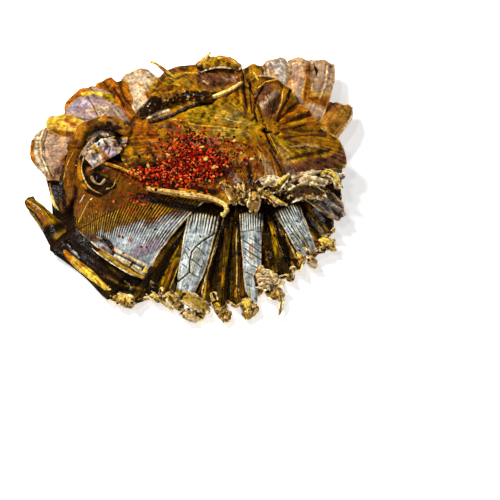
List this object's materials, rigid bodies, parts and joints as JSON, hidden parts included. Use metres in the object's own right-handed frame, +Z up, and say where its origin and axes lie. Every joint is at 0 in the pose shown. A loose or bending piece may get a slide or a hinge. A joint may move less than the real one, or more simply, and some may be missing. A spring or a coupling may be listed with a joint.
{
  "type": "dried stingray",
  "caption": "Whole dried stingray opened flat: a pleated lower fan of skin folds and petals under a raised crown sprinkled with chilli.",
  "frame": {"origin": "on the surface that the ray lies on, under the middle of its bounding box", "axes": "+Z up, -Y towards the open front of the fan of folds, +X to the right of it"},
  "size_m": [0.2372, 0.2112, 0.0399],
  "materials": {
    "dried_skin": "hard dried skin, glossy amber to dark brown with silvery folds and cream torn edges"
  },
  "bodies": {
    "root": {"stingray": "dried_skin"}
  },
  "joints": []
}
